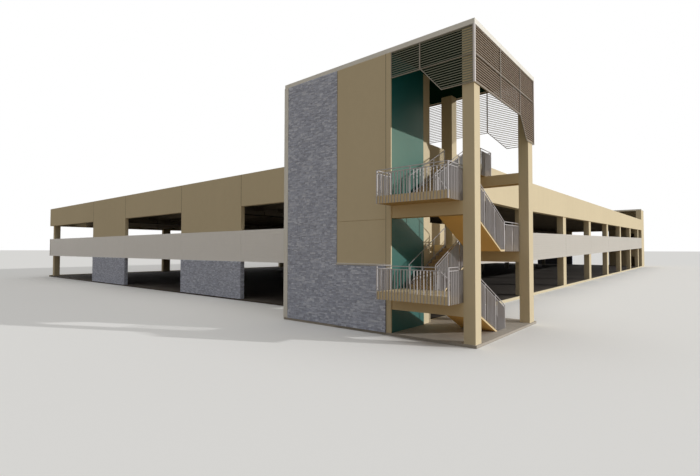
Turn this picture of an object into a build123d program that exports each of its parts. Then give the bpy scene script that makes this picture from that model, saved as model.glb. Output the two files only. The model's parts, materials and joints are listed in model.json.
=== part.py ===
# Multi-storey car park with a corner stair tower, as a 1:10 scale model.
# Lengths are millimetres of the model, so 100 is one metre of the real building.
# The origin is on the ground under the middle of the parking decks. +X runs along the
# long sides, away from the stair tower. +Y runs across the decks and +Z is up.

import os
from math import hypot

from build123d import *

# Parking decks
garage_width = 5440
storey = 370
level_bays = 1  # the decks are level up to this column after the first, then they rise
deck_slope = 0.0172  # climb over length beyond that
slab_thickness = 10
panel_thickness = 30  # wall panels, white bands and parapets
panel_joint = 1
kerb_top = 18  # low kerb along the foot of the long sides
kerb_width = 8

# Double tees: a thin deck on tapered stems
tee_width = 457
tee_depth = 81
flange = 11
stem_top = 20
stem_foot = 14

# Facade bands
band_height = 212
band_ledge_height = 24
parapet_height = 217
parapet_ledge_height = 16
ledge_width = 20
lip_height = 28  # the foot of a white band stands out under its boards
lip_out = 2

# Short facades: solid panels on the module lines, stone walls under them
panel_width = 785

# Columns and beams of the garage
bay = 1174
bay_count = 7
first_column = 344  # from the stair end to the first column's middle
last_column = 958  # from the last column's middle to the far end
column_width = 107
column_depth = 55
column_setback = 12  # behind the outer face of the panels, which are rebated for it
column_stop = 3  # the columns end this far under the top of the parapet
column_gap = 2
inner_column = 60
corner_column = 60
beam_stem = 45
beam_ledge = 20
beam_ledge_height = 30

# Stair tower, placed from the garage's corner
tower_out_west = 335
tower_out_south = 400
tower_length = 691
tower_width = 1003
roof_underside = 1157
fascia_height = 19
fascia_width = 18
canopy_plate = 10
tower_wall = 30
fin_thickness = 18
stone_wall_width = 333
stone_base_height = 278
stone_base_out = 4
cap_height = 8
cap_out = 3
wall_joint_height = 470
wall_joint = 2
pilaster_width = 24
pilaster_out = 40  # how far it stands south of the garage's long side
pilaster_return = 6  # beside the end of the teal wall, flush with it on the south
teal_wall_thickness = 20
tan_column_width = 72
tan_column_depth = 70
tan_column_setback = 8
front_column_width = 50
tower_column_depth = 45
right_column_width = 62
right_column_inset = 18
rear_column_width = 54
rear_column_depth = 60
rear_column_out = 10  # how far it stands in front of the garage's facade

# Stair
riser_count = 11
tread_depth = 32.5
nosing = 2
tread_plate = 4
riser_plate = 2
riser_gap = 0.5
near_flight_width = 148
far_flight_width = 124
stair_well = 12
flight_depth = 70  # from the line over the nosings down to the underside
soffit_thickness = 8
stringer_thickness = 6
stringer_above = 2
landing_thickness = 30
balcony_out = 95
balcony_length = 187
balcony_from_south = 60
landing_setback = 52  # south edge of the landings, behind the tower's south side
landing_east_inset = 8
landing_beam_depth = 50
landing_beam_width = 30
beam_joint = 0.5
stair_opening_width = 66  # way from a landing into the garage

# Guards
guard_height = 101
flight_guard_height = 83
guard_drop = 30
guard_thickness = 3
guard_post = 4
guard_panel = 125  # usual length between posts
guard_rail = 3
guard_rail_gap = 9
guard_joint = 0.5
picket = 2.2
picket_pitch = 13

# Louvre screens
slat_pitch = 9.4
slat_height = 2.6
slat_depth = 3
screen_bar_depth = 3
screen_bar = 3
screen_post = 5
screen_rail_drop = 107  # the rail's and the screens' depths, from the canopy down
west_screen_depths = (211, 108.5)  # at the corner post, then at the far end
south_screen_depths = (211, 307)
east_screen_depths = (307, 212)
screen_joint = 0.5
west_screen_slant = (127, 217)  # where the lower edge slants, from the corner post
south_screen_slant = (485, 569)
east_screen_slant = (127, 223)
west_screen_posts = (219,)
south_screen_posts = (248, 483)
east_screen_posts = (225, 480, 735)

# Far stair tower
far_tower_length = 450
far_tower_width = 600
far_tower_top = 1218
far_roof_thickness = 24
far_roof_overhang = 2
far_floor_thickness = 15
far_door_width = 180
far_door_height = 210
far_top_opening_width = 300
far_top_opening_height = 315
far_opening_from_corner = 92

# Places that follow from the sizes
garage_length = first_column + bay * bay_count + last_column
west, east = -garage_length / 2, garage_length / 2
south, north = -garage_width / 2, garage_width / 2
west_in, east_in = west + panel_thickness, east - panel_thickness
south_in, north_in = south + panel_thickness, north - panel_thickness
module_lines = (-garage_width / 6, garage_width / 6)
deck_levels = (storey, 2 * storey)
band_bottom = storey - tee_depth - band_ledge_height
band_top = band_bottom + band_height
parapet_bottom = 2 * storey - tee_depth - parapet_ledge_height
parapet_top = parapet_bottom + parapet_height
column_places = [west + first_column + bay * i for i in range(bay_count + 1)]
slope_start = column_places[level_bays]

tower_west = west - tower_out_west
tower_south = south - tower_out_south
tower_east = tower_west + tower_length
tower_north = tower_south + tower_width
tower_wall_in = tower_west + tower_wall
screen_depth = slat_depth + screen_bar_depth
stone_wall_north = tower_north - fin_thickness
stone_wall_south = stone_wall_north - stone_wall_width
pilaster_south = south - pilaster_out
tan_wall_south = pilaster_south + pilaster_width

# Columns of the stair tower, each as x from, x to, y from, y to
front_column_place = (
    tower_west + screen_depth,
    tower_west + screen_depth + front_column_width,
    tower_south + screen_depth,
    tower_south + screen_depth + tower_column_depth,
)
right_column_place = (
    tower_east - right_column_inset - right_column_width,
    tower_east - right_column_inset,
    tower_south + screen_depth,
    tower_south + screen_depth + tower_column_depth,
)
rear_column_place = (
    right_column_place[0],
    right_column_place[0] + rear_column_width,
    south - rear_column_out,
    south - rear_column_out + rear_column_depth,
)
roof_column_place = (
    rear_column_place[0],
    rear_column_place[1],
    tower_north - screen_depth - rear_column_depth,
    tower_north - screen_depth,
)
tan_column_place = (
    west - tan_column_width,
    west,
    pilaster_south + tan_column_setback,
    pilaster_south + tan_column_setback + tan_column_depth,
)

# The flights run between a balcony at the west and a landing at the east
stair_run = tread_depth * (riser_count - 1)
balcony_west = tower_west - balcony_out
stair_west = balcony_west + balcony_length
stair_east = stair_west + stair_run
balcony_south = tower_south + balcony_from_south
balcony_levels = (storey / 2, storey * 3 / 2)
near_flight = tower_south + landing_setback
far_flight = near_flight + near_flight_width + stair_well
landing_east = tower_east - landing_east_inset
landing_north = south - panel_joint
entry_east = rear_column_place[0]
entry_west = entry_east - stair_opening_width
south_band_start = rear_column_place[1] + column_gap
far_tower_west = east - far_tower_length
far_tower_north = south + far_tower_width


def lift(x):
    # how much higher the decks and bands are at this place than at the stair end
    return deck_slope * max(0, x - slope_start)


def post_side(x, width, foot, head):
    # side view of a post with a level foot, whose head follows the slope above it
    left, right = x - width / 2, x + width / 2
    return [(left, foot), (right, foot), (right, head + lift(right)), (left, head + lift(left))]


def run_across(points, y_from, y_to, mode=Mode.ADD):
    # a side view drawn in x and z, made solid across the building
    with BuildSketch(Plane.XZ.offset(-y_to)) as side:
        Polygon(*points, align=None)
    extrude(side.sketch, amount=y_to - y_from, mode=mode)


def rising(points, x_from, x_to):
    # a cross-section drawn in y and z, made solid along the building and up its slope
    length, climb = x_to - x_from, lift(x_to) - lift(x_from)
    with BuildSketch(Plane((x_from, 0, lift(x_from)), x_dir=(0, 1, 0), z_dir=(1, 0, 0))) as section:
        Polygon(*points, align=None)
    extrude(section.sketch, amount=hypot(length, climb), dir=(length, 0, climb))


def block(place, low, high, mode=Mode.ADD):
    # a straight-sided piece standing on the rectangle x from, x to, y from, y to
    x_from, x_to, y_from, y_to = place
    with BuildSketch(Plane.XY.offset(low)) as foot:
        with Locations(((x_from + x_to) / 2, (y_from + y_to) / 2)):
            Rectangle(x_to - x_from, y_to - y_from)
    extrude(foot.sketch, amount=high - low, mode=mode)


def clear(places, gap=column_gap):
    # room for the columns that pass through or stand against the piece
    with BuildSketch() as rooms:
        for x_from, x_to, y_from, y_to in places:
            with Locations(((x_from + x_to) / 2, (y_from + y_to) / 2)):
                Rectangle(x_to - x_from + 2 * gap, y_to - y_from + 2 * gap)
    extrude(rooms.sketch, amount=roof_underside, mode=Mode.SUBTRACT)


def pieces(ends):
    # each stretch between two ends, less half a joint at both
    return [(a + panel_joint / 2, b - panel_joint / 2) for a, b in zip(ends, ends[1:])]


def finish(part, name):
    part.label = name
    export_step(part, f"parts/{name}.step")


os.makedirs("parts", exist_ok=True)


# Facade columns, each as x from, x to, y from, y to
def column_place(x, y_from):
    return (x - column_width / 2, x + column_width / 2, y_from, y_from + column_depth)


south_face = south + column_setback
north_face = north - column_setback
south_column_places = [column_place(x, south_face) for x in column_places[1:]]
north_column_places = [column_place(x, north_face - column_depth) for x in column_places]
corner_places = [
    (west_in, west_in + corner_column, south_in, south_in + corner_column),
    (west_in, west_in + corner_column, north_in - corner_column, north_in),
    (east_in - corner_column, east_in, north_in - corner_column, north_in),
]
far_tower_place = (far_tower_west, east, south, far_tower_north)


# Ground slab of the garage, with a kerb along its long sides
with BuildPart() as ground_slab:
    block((west, east, south, north), 0, slab_thickness)
    block((south_band_start, far_tower_west, south, south + kerb_width), 0, kerb_top)
    block((west, east, north - kerb_width, north), 0, kerb_top)
finish(ground_slab.part, "ground_slab")


# Decks of double tees: in each module a level stretch and a rising one, on the ledges
deck_stretches = pieces([west_in, slope_start, east_in])
deck_bounds = [
    (south_in + panel_joint, module_lines[0] - beam_stem / 2 - panel_joint),
    (module_lines[0] + beam_stem / 2 + panel_joint, module_lines[1] - beam_stem / 2 - panel_joint),
    (module_lines[1] + beam_stem / 2 + panel_joint, north_in - panel_joint),
]


def deck_side(x_from, x_to, top):
    # side view of a stretch of deck: the flange with a row of tapered stems under it
    stems = 2 * round((x_to - x_from) / tee_width)
    pitch = (x_to - x_from) / stems
    corners = [(x_from, 0), (x_from, flange)]
    for x in [x_from + pitch * (i + 0.5) for i in range(stems)]:
        corners += [(x - stem_top / 2, flange), (x - stem_foot / 2, tee_depth)]
        corners += [(x + stem_foot / 2, tee_depth), (x + stem_top / 2, flange)]
    corners += [(x_to, flange), (x_to, 0)]
    return [(x, top - depth + lift(x)) for x, depth in corners]


def deck_set(top):
    for x_from, x_to in deck_stretches:
        side = deck_side(x_from, x_to, top)
        for y_from, y_to in deck_bounds:
            run_across(side, y_from, y_to)
    clear([*south_column_places, *north_column_places, *corner_places, rear_column_place])
    clear([far_tower_place], gap=panel_joint)


with BuildPart() as level_2_decks:
    deck_set(deck_levels[0])
finish(level_2_decks.part, "level_2_decks")

with BuildPart() as roof_decks:
    deck_set(deck_levels[1])
finish(roof_decks.part, "roof_decks")


# Inverted T beams on the two module lines
def beam_section(y, top):
    ledge_top = top - tee_depth
    foot = ledge_top - beam_ledge_height
    stem, wide = beam_stem / 2, beam_stem / 2 + beam_ledge
    right = [(wide, foot), (wide, ledge_top), (stem, ledge_top), (stem, top)]
    return [(y + across, z) for across, z in right + [(-across, z) for across, z in right[::-1]]]


with BuildPart() as inner_beams:
    for level in deck_levels:
        for line in module_lines:
            for x_from, x_to in deck_stretches:
                rising(beam_section(line, level), x_from, x_to)
finish(inner_beams.part, "inner_beams")


# Columns under the beams, one to each storey
beam_foot = storey - tee_depth - beam_ledge_height

with BuildPart() as inner_columns:
    for line in module_lines:
        y_from, y_to = line - inner_column / 2, line + inner_column / 2
        for x in column_places[1:]:
            across = (x - inner_column / 2, x, x + inner_column / 2)
            heads = [(at, beam_foot + lift(at)) for at in across[::-1]]
            run_across([(across[0], slab_thickness), (across[2], slab_thickness), *heads], y_from, y_to)
            upper_feet = [(at, storey + lift(at)) for at in across]
            upper_heads = [(at, storey + z) for at, z in heads]
            run_across(upper_feet + upper_heads, y_from, y_to)
finish(inner_columns.part, "inner_columns")


# Facade columns, from the slab to just under the top of the parapet
def tall_column(place):
    x_from, x_to, y_from, y_to = place
    side = post_side((x_from + x_to) / 2, x_to - x_from, slab_thickness, parapet_top - column_stop)
    run_across(side, y_from, y_to)


with BuildPart() as south_columns:
    for place in south_column_places:
        tall_column(place)
finish(south_columns.part, "south_columns")

with BuildPart() as north_columns:
    for place in north_column_places:
        tall_column(place)
finish(north_columns.part, "north_columns")

with BuildPart() as corner_columns:
    for place in corner_places:
        tall_column(place)
finish(corner_columns.part, "corner_columns")


# White bands and parapets of the long sides: panels that meet on the column lines,
# with a ledge inside for the tees, and a lip at the foot of the white ones
def panel_section(outside, inside, bottom, height, ledge_height=0, lip=0):
    # section of a panel between its outer and inner faces
    inward = 1 if inside > outside else -1
    points = [(outside, 0)]
    if lip:
        points += [(outside, lip_height), (outside + inward * lip, lip_height)]
    points += [(outside + inward * lip, height), (inside, height)]
    if ledge_height:
        ledge_end = inside + inward * ledge_width
        points += [(inside, ledge_height), (ledge_end, ledge_height), (ledge_end, 0)]
    else:
        points += [(inside, 0)]
    return [(across, bottom + z) for across, z in points]


def stair_side_panel(section):
    # the short panel between the tan column and the way in from a landing
    rising(section, west, entry_west)
    clear([(west, west_in + corner_column, south_in + column_gap, south_in + corner_column)])


def south_panels(section):
    for x_from, x_to in pieces([south_band_start, *column_places[1:], far_tower_west]):
        rising(section, x_from, x_to)
    clear(south_column_places)


def north_panels(section):
    for x_from, x_to in pieces([west, *column_places, east]):
        rising(section, x_from, x_to)
    corner_room = (north_in - corner_column, north_in - column_gap)
    clear(north_column_places)
    clear([(west, west_in + corner_column, *corner_room), (east_in - corner_column, east, *corner_room)])


white_sizes = (band_bottom, band_height, band_ledge_height, lip_out)
parapet_sizes = (parapet_bottom, parapet_height, parapet_ledge_height)

with BuildPart() as south_white_band:
    south_panels(panel_section(south, south_in, *white_sizes))
finish(south_white_band.part, "south_white_band")

with BuildPart() as north_white_band:
    north_panels(panel_section(north, north_in, *white_sizes))
finish(north_white_band.part, "north_white_band")

with BuildPart() as south_parapet:
    stair_side_panel(panel_section(south, south_in, *parapet_sizes))
    south_panels(panel_section(south, south_in, *parapet_sizes))
finish(south_parapet.part, "south_parapet")

with BuildPart() as north_parapet:
    north_panels(panel_section(north, north_in, *parapet_sizes))
finish(north_parapet.part, "north_parapet")


# Bands and parapets of the short sides: their joints line up with the solid panels
def short_panels(section, y_start):
    joints = [line + side * panel_width / 2 for line in module_lines for side in (-1, 1)]
    for y_from, y_to in pieces([y_start, *joints, north_in]):
        run_across(section, y_from, y_to)


east_lift = lift(east)
short_white = (band_height, 0, lip_out)

with BuildPart() as west_white_band:
    short_panels(panel_section(west, west_in, band_bottom, *short_white), tower_north)
finish(west_white_band.part, "west_white_band")

with BuildPart() as east_white_band:
    short_panels(panel_section(east, east_in, band_bottom + east_lift, *short_white), far_tower_north)
finish(east_white_band.part, "east_white_band")

with BuildPart() as west_parapet:
    short_panels(panel_section(west, west_in, parapet_bottom, parapet_height), tower_north)
finish(west_parapet.part, "west_parapet")

with BuildPart() as east_parapet:
    raised_parapet = parapet_bottom + east_lift
    short_panels(panel_section(east, east_in, raised_parapet, parapet_height), far_tower_north)
finish(east_parapet.part, "east_parapet")


def module_panels(x_from, low, high):
    # one solid panel centred on each module line
    for y in module_lines:
        place = (x_from, x_from + panel_thickness, y - panel_width / 2, y + panel_width / 2)
        block(place, low, high)


with BuildPart() as wall_panels:
    stair_side_panel(panel_section(south, south_in, band_bottom, band_height, band_ledge_height))
    module_panels(west, band_top, parapet_bottom)
    module_panels(east_in, band_top + east_lift, parapet_bottom + east_lift)
finish(wall_panels.part, "wall_panels")

with BuildPart() as stone_walls:
    module_panels(west, slab_thickness, band_bottom)
    module_panels(east_in, slab_thickness, band_bottom + east_lift)
finish(stone_walls.part, "stone_walls")


# Stair tower: floor on the ground, outside the garage's own slab
with BuildPart() as tower_floor:
    block((tower_west, tower_east, tower_south, south), 0, slab_thickness)
    block((tower_west, west, south, tower_north), 0, slab_thickness)
finish(tower_floor.part, "tower_floor")


# Walls of the closed block
with BuildPart() as tower_stone_wall:
    block((tower_west, tower_wall_in, stone_wall_south, stone_wall_north), slab_thickness, roof_underside)
finish(tower_stone_wall.part, "tower_stone_wall")

stone_base_top = slab_thickness + stone_base_height

with BuildPart() as tower_stone_base:
    face = tower_west - stone_base_out
    cap_low = stone_base_top - cap_height
    base_side = [
        (tower_wall_in, slab_thickness),
        (face, slab_thickness),
        (face, cap_low),
        (face - cap_out, cap_low),
        (face - cap_out, stone_base_top - cap_out),
        (tower_west, stone_base_top),
        (tower_wall_in, stone_base_top),
    ]
    run_across(base_side, tan_wall_south, stone_wall_south)
finish(tower_stone_base.part, "tower_stone_base")

with BuildPart() as tower_tan_wall:
    block((tower_west, tower_wall_in, tan_wall_south, stone_wall_south), stone_base_top, roof_underside)
    joint_place = (tower_west, tower_west + wall_joint, tan_wall_south, stone_wall_south)
    block(joint_place, wall_joint_height, wall_joint_height + wall_joint, mode=Mode.SUBTRACT)
finish(tower_tan_wall.part, "tower_tan_wall")

teal_wall_place = (
    tower_west + pilaster_return,
    tan_column_place[0],
    pilaster_south,
    pilaster_south + teal_wall_thickness,
)

with BuildPart() as tower_pilaster:
    block((tower_west, tower_wall_in, pilaster_south, tan_wall_south), slab_thickness, roof_underside)
    clear([teal_wall_place], gap=0)
finish(tower_pilaster.part, "tower_pilaster")

with BuildPart() as teal_wall:
    block(teal_wall_place, slab_thickness, roof_underside)
finish(teal_wall.part, "teal_wall")

with BuildPart() as tower_fin:
    block((tower_west, west, stone_wall_north, tower_north), slab_thickness, roof_underside)
finish(tower_fin.part, "tower_fin")

with BuildPart() as tower_inner_wall:
    block((west, west_in, south_in, tower_north), slab_thickness, roof_underside)
    clear([tan_column_place], gap=0)
finish(tower_inner_wall.part, "tower_inner_wall")

# Columns that carry the canopy
with BuildPart() as tan_column:
    block(tan_column_place, slab_thickness, roof_underside)
finish(tan_column.part, "tan_column")

with BuildPart() as stair_columns:
    for place in (front_column_place, right_column_place):
        block(place, slab_thickness, roof_underside)
finish(stair_columns.part, "stair_columns")

with BuildPart() as rear_columns:
    block(rear_column_place, slab_thickness, roof_underside)
    block(roof_column_place, deck_levels[1], roof_underside)
finish(rear_columns.part, "rear_columns")


# Canopy: a pale fascia around a flat plate
with BuildPart() as roof_fascia:
    with BuildSketch(Plane.XY.offset(roof_underside)):
        with Locations(((tower_west + tower_east) / 2, (tower_south + tower_north) / 2)):
            Rectangle(tower_length, tower_width)
            Rectangle(tower_length - 2 * fascia_width, tower_width - 2 * fascia_width, mode=Mode.SUBTRACT)
    extrude(amount=fascia_height)
finish(roof_fascia.part, "roof_fascia")

with BuildPart() as canopy_plate_part:
    canopy_place = (
        tower_west + fascia_width,
        tower_east - fascia_width,
        tower_south + fascia_width,
        tower_north - fascia_width,
    )
    block(canopy_place, roof_underside, roof_underside + canopy_plate)
finish(canopy_plate_part.part, "roof_canopy")


# Balconies at the half levels and landings at the full levels
with BuildPart() as balcony_slabs:
    for level in balcony_levels:
        balcony_place = (balcony_west, stair_west, balcony_south, pilaster_south)
        block(balcony_place, level - landing_thickness, level)
finish(balcony_slabs.part, "balcony_slabs")


def landing(level, y_from):
    # slab beside the garage, with a tongue through the way in
    low = level - landing_thickness
    block((stair_east, landing_east, y_from, landing_north), low, level)
    block((entry_west + panel_joint, south_band_start, landing_north, south_in), low, level)
    clear([tan_column_place, right_column_place, rear_column_place])


with BuildPart() as level_2_landing:
    landing(deck_levels[0], near_flight)
finish(level_2_landing.part, "level_2_landing")

with BuildPart() as roof_landing:
    landing(deck_levels[1], far_flight)
finish(roof_landing.part, "roof_landing")

# Beams under them, from column to column
with BuildPart() as landing_beams:
    for level in balcony_levels:
        beam_top = level - landing_thickness
        balcony_beam = (front_column_place[0], front_column_place[1], front_column_place[3], pilaster_south)
        block(balcony_beam, beam_top - landing_beam_depth, beam_top)
    for level in deck_levels:
        beam_top = level - landing_thickness
        east_beam = (*right_column_place[:2], right_column_place[3], rear_column_place[2])
        block(east_beam, beam_top - landing_beam_depth, beam_top)
        garage_beam_south = landing_north - landing_beam_width
        garage_beam = (west, rear_column_place[0] - beam_joint, garage_beam_south, landing_north)
        block(garage_beam, beam_top - landing_beam_depth, beam_top)
finish(landing_beams.part, "landing_beams")


# Flights as y of the two sides, lower level, upper level and the way they climb in x
near_sides = (near_flight, near_flight + near_flight_width)
far_sides = (far_flight, far_flight + far_flight_width)
flights = [
    (*near_sides, slab_thickness, balcony_levels[0], -1),
    (*far_sides, balcony_levels[0], deck_levels[0], 1),
    (*near_sides, deck_levels[0], balcony_levels[1], -1),
    (*far_sides, balcony_levels[1], deck_levels[1], 1),
]


def nosing_line(lower, upper, way):
    # height of the line over the nosings at the west and east ends of a flight
    riser = (upper - lower) / riser_count
    return (upper, lower + riser) if way < 0 else (lower + riser, upper)


def underside(lower, upper, way):
    # lower line of a flight from west to east: on the slope, and level beside the lower floor
    at_west, at_east = nosing_line(lower, upper, way)
    level = lower - landing_thickness
    bend = stair_west + (level + flight_depth - at_west) * stair_run / (at_east - at_west)
    if way < 0:
        return [(stair_west, at_west - flight_depth), (bend, level), (stair_east, level)]
    return [(stair_west, level), (bend, level), (stair_east, at_east - flight_depth)]


def raised(points):
    return [(x, z + soffit_thickness) for x, z in points]


with BuildPart() as stair_soffits:
    for y_from, y_to, lower, upper, way in flights:
        foot = underside(lower, upper, way)
        run_across(foot + raised(foot)[::-1], y_from - guard_thickness, y_to)
    split(bisect_by=Plane.XY.offset(slab_thickness), keep=Keep.TOP)
finish(stair_soffits.part, "stair_soffits")

with BuildPart() as stair_stringers:
    for y_from, y_to, lower, upper, way in flights:
        at_west, at_east = nosing_line(lower, upper, way)
        top = [(stair_east, at_east + stringer_above), (stair_west, at_west + stringer_above)]
        stringer_side = raised(underside(lower, upper, way)) + top
        run_across(stringer_side, y_from, y_from + stringer_thickness)
        run_across(stringer_side, y_to - stringer_thickness, y_to)
    split(bisect_by=Plane.XY.offset(slab_thickness), keep=Keep.TOP)
finish(stair_stringers.part, "stair_stringers")


def step_side(way, riser):
    # a tread with its riser, seen from the side, drawn for the first step
    back = way * tread_depth
    front = -way * nosing
    return [
        (back, riser),
        (front, riser),
        (front, riser - tread_plate),
        (0, riser - tread_plate),
        (0, riser_gap),
        (way * riser_plate, riser_gap),
        (way * riser_plate, riser - tread_plate),
        (back, riser - tread_plate),
    ]


with BuildPart() as stair_treads:
    for y_from, y_to, lower, upper, way in flights:
        riser = (upper - lower) / riser_count
        foot = stair_east if way < 0 else stair_west
        with BuildSketch(Plane.XZ.offset(stringer_thickness - y_to)):
            steps = range(riser_count - 1)
            with Locations(*[(foot + way * tread_depth * i, lower + riser * i) for i in steps]):
                Polygon(*step_side(way, riser), align=None)
        extrude(amount=y_to - y_from - 2 * stringer_thickness)
finish(stair_treads.part, "stair_treads")


# Guards: posts, two rails at the top, and pickets that end on the floor's edge
def guard_face(length, slope, height, drop, pickets):
    def window(x_from, x_to, low, high):
        corners = [(x_from, low), (x_to, low), (x_to, high), (x_from, high)]
        return [(x, z + slope * x) for x, z in corners]

    def cut(hole, places):
        with Locations(*[(x, slope * x) for x in places]):
            Polygon(*hole, align=None, mode=Mode.SUBTRACT)

    panels = max(1, round(length / guard_panel))
    spacing = (length - guard_post) / panels
    inner = spacing - guard_post
    starts = [guard_post + spacing * i for i in range(panels)]
    Polygon(*window(0, length, -drop, height), align=None)
    if not pickets:
        cut(window(0, inner, -drop, height - guard_rail), starts)
        return
    rails_low = height - guard_rail - guard_rail_gap
    slots = max(1, round(inner / picket_pitch))
    pitch = (inner + picket) / slots
    cut(window(0, inner, rails_low, height - guard_rail), starts)
    slot = window(0, pitch - picket, -drop, rails_low - guard_rail)
    cut(slot, [start + pitch * i for start in starts for i in range(slots)])


def guard_along(x_from, x_to, y_to, floor):
    # a level guard along the building, with its north face at y_to
    plane = Plane((x_from, y_to, floor), x_dir=(1, 0, 0), z_dir=(0, -1, 0))
    with BuildSketch(plane) as face:
        guard_face(x_to - x_from, 0, guard_height, guard_drop, True)
    extrude(face.sketch, amount=guard_thickness)


def guard_across(y_from, y_to, x_from, floor):
    # a level guard across the building, with its west face at x_from
    plane = Plane((x_from, y_from, floor), x_dir=(0, 1, 0), z_dir=(1, 0, 0))
    with BuildSketch(plane) as face:
        guard_face(y_to - y_from, 0, guard_height, guard_drop, True)
    extrude(face.sketch, amount=guard_thickness)


def flight_guard(y_to, foot, ends, pickets=True):
    # a guard on the slope of a flight, down to its soffit, or a handrail on its stringer
    at_west, at_east = ends
    slope = (at_east - at_west) / stair_run
    drop = flight_depth if pickets else -stringer_above
    plane = Plane((stair_west, y_to, at_west), x_dir=(1, 0, 0), z_dir=(0, -1, 0))
    with BuildSketch(plane) as face:
        guard_face(stair_run, slope, flight_guard_height, drop, pickets)
        deep = min(z for _, z in foot) - flight_depth
        below = raised(foot) + [(stair_east, deep), (stair_west, deep)]
        Polygon(*[(x - stair_west, z - at_west) for x, z in below], align=None, mode=Mode.SUBTRACT)
    extrude(face.sketch, amount=guard_thickness)


with BuildPart() as balcony_guards:
    for level in balcony_levels:
        outer_south = balcony_south - guard_thickness
        outer_north = pilaster_south + guard_thickness
        guard_across(outer_south, outer_north, balcony_west - guard_thickness, level)
        guard_along(balcony_west + guard_joint, stair_west, balcony_south, level)
        guard_along(balcony_west + guard_joint, tower_west - guard_joint, outer_north, level)
finish(balcony_guards.part, "balcony_guards")

with BuildPart() as landing_guards:
    guard_along(stair_east + guard_joint, right_column_place[0], near_flight, deck_levels[0])
    guard_across(right_column_place[3], rear_column_place[2], landing_east, deck_levels[0])
    guard_along(stair_east + guard_joint, landing_east, far_flight, deck_levels[1])
    guard_across(far_flight + guard_joint, rear_column_place[2], landing_east, deck_levels[1])
finish(landing_guards.part, "landing_guards")

with BuildPart() as flight_guards:
    for y_from, y_to, lower, upper, way in flights:
        foot = underside(lower, upper, way)
        ends = nosing_line(lower, upper, way)
        flight_guard(y_from, foot, ends)
        rail_north = y_to - (stringer_thickness - guard_thickness) / 2
        flight_guard(rail_north, foot, ends, pickets=False)
    split(bisect_by=Plane.XY.offset(slab_thickness), keep=Keep.TOP)
finish(flight_guards.part, "flight_guards")


# Louvre screens hang under the fascia on three sides, with a post at each corner.
# A flat frame of bars lies outside, in front of the slats.
west_screen_length = pilaster_south - tower_south - screen_depth
south_screen_length = tower_length - 2 * screen_depth
east_screen_length = tower_width - screen_depth


def stepped_outline(length, depths, slant):
    # a screen seen from outside, whose lower edge steps once on a slant
    start_low, end_low = (roof_underside - depth for depth in depths)
    slant_from, slant_to = slant
    return [
        (0, start_low),
        (slant_from, start_low),
        (slant_to, end_low),
        (length, end_low),
        (length, roof_underside),
        (0, roof_underside),
    ]


def draw_frame(outline, posts):
    # edge bars, posts and one rail, kept inside the outline
    length, lowest = outline[3][0], min(z for _, z in outline)
    Polygon(*outline, align=None)
    offset(amount=-screen_bar, mode=Mode.SUBTRACT)
    with Locations(*[(x, (roof_underside + lowest) / 2) for x in posts]):
        Rectangle(screen_post, roof_underside - lowest)
    with Locations((length / 2, roof_underside - screen_rail_drop)):
        Rectangle(length, slat_height)
    Polygon(*outline, align=None, mode=Mode.INTERSECT)


def draw_slats(outline):
    length, lowest = outline[3][0], min(z for _, z in outline)
    count = int((roof_underside - lowest) / slat_pitch)
    with Locations(*[(length / 2, roof_underside - slat_pitch * (i + 0.5)) for i in range(count)]):
        Rectangle(length, slat_height)
    Polygon(*outline, align=None, mode=Mode.INTERSECT)


west_outline = stepped_outline(west_screen_length, west_screen_depths, west_screen_slant)
south_outline = stepped_outline(south_screen_length, south_screen_depths, south_screen_slant)
east_outline = stepped_outline(east_screen_length, east_screen_depths, east_screen_slant)
side_start = tower_south + screen_depth


def side_plane(x):
    return Plane((x, side_start, 0), x_dir=(0, 1, 0), z_dir=(1, 0, 0))


def front_plane(y):
    return Plane((tower_west + screen_depth, y, 0), x_dir=(1, 0, 0), z_dir=(0, -1, 0))


with BuildPart() as west_screen_slats:
    with BuildSketch(side_plane(tower_west + screen_bar_depth)):
        draw_slats(west_outline)
    extrude(amount=slat_depth - screen_joint)
finish(west_screen_slats.part, "west_screen_slats")

with BuildPart() as south_screen_slats:
    with BuildSketch(front_plane(tower_south + screen_depth)):
        draw_slats(south_outline)
    extrude(amount=slat_depth)
finish(south_screen_slats.part, "south_screen_slats")

with BuildPart() as east_screen_slats:
    with BuildSketch(side_plane(tower_east - screen_depth)):
        draw_slats(east_outline)
    extrude(amount=slat_depth)
finish(east_screen_slats.part, "east_screen_slats")

with BuildPart() as screen_frames:
    with BuildSketch(side_plane(tower_west)):
        draw_frame(west_outline, west_screen_posts)
    extrude(amount=screen_bar_depth)
    with BuildSketch(front_plane(tower_south + screen_bar_depth)):
        draw_frame(south_outline, south_screen_posts)
    extrude(amount=screen_bar_depth)
    with BuildSketch(side_plane(tower_east - screen_bar_depth)):
        draw_frame(east_outline, east_screen_posts)
    extrude(amount=screen_bar_depth)
finish(screen_frames.part, "screen_frames")

with BuildPart() as screen_corner_posts:
    west_post = (tower_west, tower_west + screen_depth, tower_south, side_start)
    block(west_post, roof_underside - west_screen_depths[0], roof_underside)
    east_post = (tower_east - screen_depth, tower_east, tower_south, side_start)
    block(east_post, roof_underside - east_screen_depths[0], roof_underside)
finish(screen_corner_posts.part, "screen_corner_posts")


# Far stair tower at the other end of the sunny side
far_wall_top = far_tower_top - far_roof_thickness
far_inner_north = far_tower_north - panel_thickness
far_floor_levels = [level + lift(far_tower_west) for level in deck_levels]

with BuildPart() as far_tower_walls:
    block((far_tower_west, east, south, south_in), slab_thickness, far_wall_top)
    block((east_in, east, south_in + panel_joint, far_tower_north), slab_thickness, far_wall_top)
    far_north_place = (far_tower_west, east_in - panel_joint, far_inner_north, far_tower_north)
    block(far_north_place, slab_thickness, far_wall_top)
finish(far_tower_walls.part, "far_tower_walls")

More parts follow.
